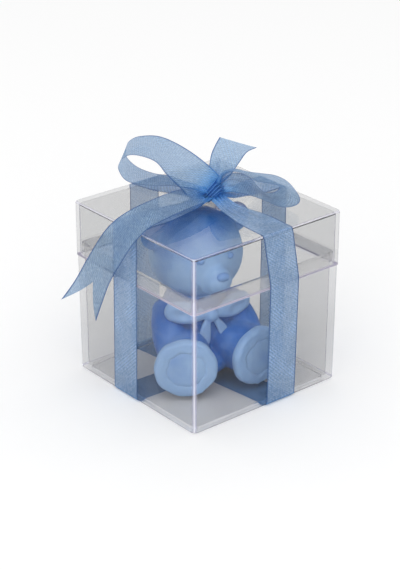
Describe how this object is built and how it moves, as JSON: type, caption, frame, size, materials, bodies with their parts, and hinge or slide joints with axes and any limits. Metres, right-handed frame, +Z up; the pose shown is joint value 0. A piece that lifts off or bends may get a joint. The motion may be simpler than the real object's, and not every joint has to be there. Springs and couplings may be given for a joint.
{
  "type": "favor box",
  "caption": "Clear plastic gift cube with a lift-off lid, tied crosswise with blue organza ribbon and a bow, holding a small blue cast bear that sits inside.",
  "frame": {"origin": "on the table, under the middle of the box, on the underside of the ribbon that runs left to right beneath the base", "axes": "+Z up; -Y the front of the box, the right-hand side in the picture; -X its left side, the left-hand side in the picture"},
  "size_m": [0.0579, 0.0514, 0.0672],
  "materials": {
    "clear_styrene": "clear, polished mould faces",
    "blue_organza": "sheer woven organza with a denser edge",
    "blue_wax": "cast wax, soft satin",
    "pale_blue_wax": "cast wax, paler and worn at the raised places"
  },
  "bodies": {
    "base": {"box_base": "clear_styrene", "ribbon_under_left_right": "blue_organza", "ribbon_under_front_back": "blue_organza", "ribbon_side_front": "blue_organza", "ribbon_side_left": "blue_organza", "ribbon_side_right": "blue_organza", "ribbon_side_back": "blue_organza", "bear_torso": "blue_wax", "bear_head": "blue_wax", "bear_muzzle": "pale_blue_wax", "bear_nose": "blue_wax", "bear_ear_left": "blue_wax", "bear_ear_right": "blue_wax", "bear_eye_left": "blue_wax", "bear_eye_right": "blue_wax", "bear_arm_left": "blue_wax", "bear_arm_right": "blue_wax", "bear_leg_left": "blue_wax", "bear_leg_right": "blue_wax", "bear_sole_left": "pale_blue_wax", "bear_sole_right": "pale_blue_wax", "bear_pad_left": "blue_wax", "bear_pad_right": "blue_wax", "neck_bow_knot": "pale_blue_wax", "neck_bow_loop_left": "pale_blue_wax", "neck_bow_loop_right": "pale_blue_wax", "neck_bow_tail_left": "pale_blue_wax", "neck_bow_tail_right": "pale_blue_wax"},
    "lid": {"lid": "clear_styrene", "ribbon_top_front": "blue_organza", "ribbon_top_left": "blue_organza", "ribbon_top_right": "blue_organza", "ribbon_top_back": "blue_organza", "bow_knot": "blue_organza", "bow_loop_left": "blue_organza", "bow_loop_right": "blue_organza", "bow_tail_front": "blue_organza", "bow_tail_back": "blue_organza"}
  },
  "joints": [
    {"name": "lid_lift", "type": "slide", "parent": "base", "child": "lid", "axis": [0, 0, 1], "range_m": [0, 0.016], "deforming": ["ribbon_side_front", "ribbon_side_left", "ribbon_side_right", "ribbon_side_back"]}
  ]
}
